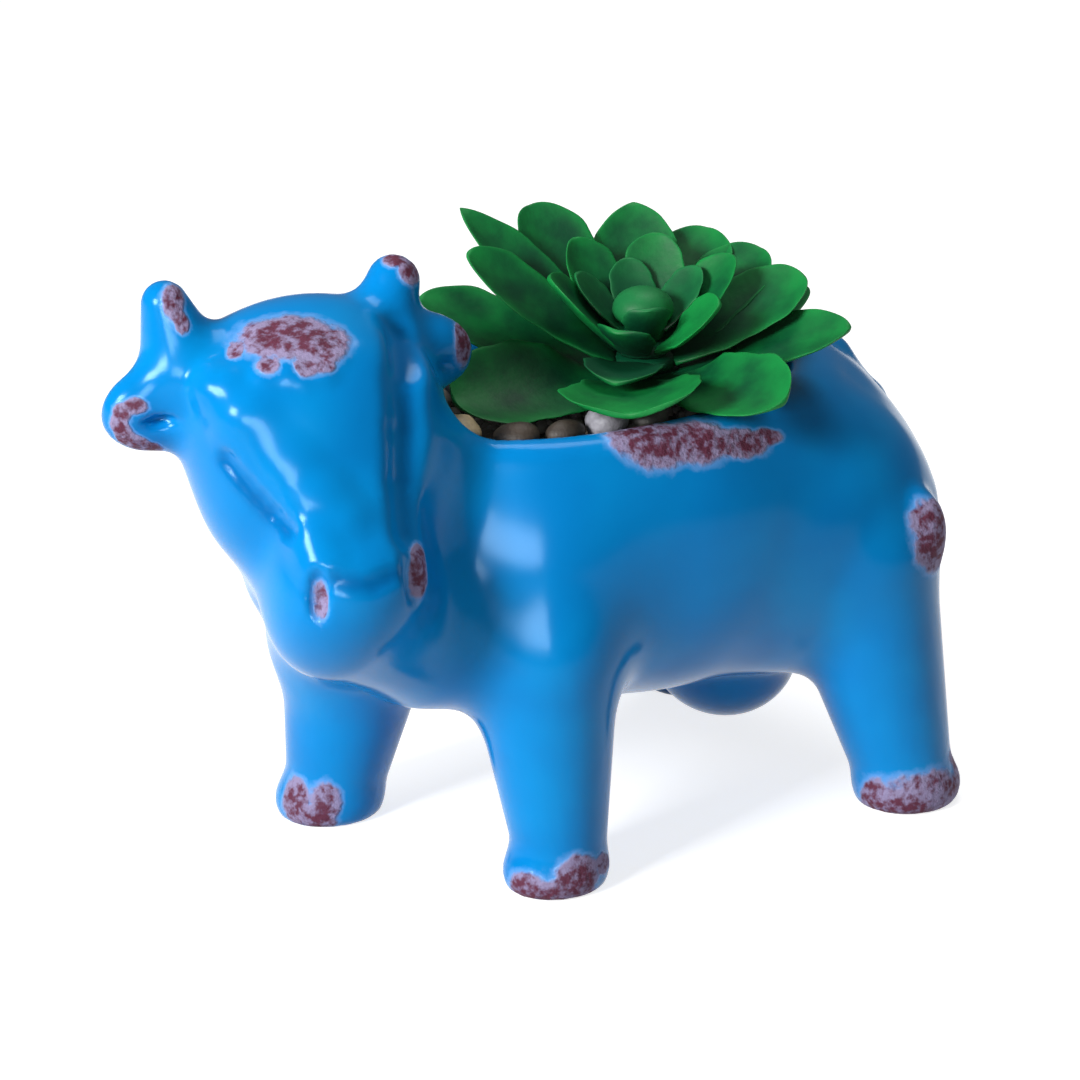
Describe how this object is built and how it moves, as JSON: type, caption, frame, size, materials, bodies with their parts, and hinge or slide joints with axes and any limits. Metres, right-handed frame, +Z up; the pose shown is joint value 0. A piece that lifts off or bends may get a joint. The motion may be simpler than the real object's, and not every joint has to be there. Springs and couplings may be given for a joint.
{
  "type": "cow planter",
  "caption": "Hollow glazed ceramic cow on flat feet; an oval opening in its back holds foam, gravel, pebbles and a lift-out artificial succulent.",
  "frame": {"origin": "on the ground, under the middle of the bounding box of the whole part", "axes": "+Z up, -X towards the cow's front, -Y to the cow's left side, the side the picture shows"},
  "size_m": [0.1726, 0.094, 0.1193],
  "materials": {
    "blue_glaze": "glossy blue glaze, rubbed through to the dark red-brown and pale clay body in patches",
    "foam": "dull green dry florist's foam",
    "gravel": "matt glued grit",
    "pebble_beige": "smooth matt river pebble",
    "pebble_brown": "smooth satin river pebble",
    "pebble_grey": "smooth matt river pebble",
    "pebble_white": "smooth matt river pebble",
    "pebble_rose": "smooth matt river pebble",
    "stem_green": "moulded, matt",
    "leaf_deep": "moulded leaf with a soft satin skin",
    "leaf_mid": "moulded leaf with a soft satin skin",
    "leaf_light": "moulded leaf with a soft satin skin"
  },
  "bodies": {
    "planter": {"cow_pot": "blue_glaze", "foam_block": "foam", "gravel_bed": "gravel", "pebble_01": "pebble_beige", "pebble_02": "pebble_brown", "pebble_03": "pebble_brown", "pebble_04": "pebble_white", "pebble_05": "pebble_brown", "pebble_06": "pebble_grey", "pebble_07": "pebble_beige", "pebble_08": "pebble_grey", "pebble_09": "pebble_white", "pebble_10": "pebble_brown", "pebble_11": "pebble_rose", "pebble_12": "pebble_beige", "pebble_13": "pebble_grey", "pebble_14": "pebble_brown"},
    "succulent": {"stem": "stem_green", "leaf_whorl_outer": "leaf_deep", "leaf_whorl_middle": "leaf_mid", "leaf_whorl_inner": "leaf_mid", "leaf_whorl_heart": "leaf_light", "bud": "leaf_light"}
  },
  "joints": [
    {"name": "succulent_lift", "type": "slide", "parent": "planter", "child": "succulent", "axis": [0, 0, 1], "range_m": [0, 0.085]}
  ]
}
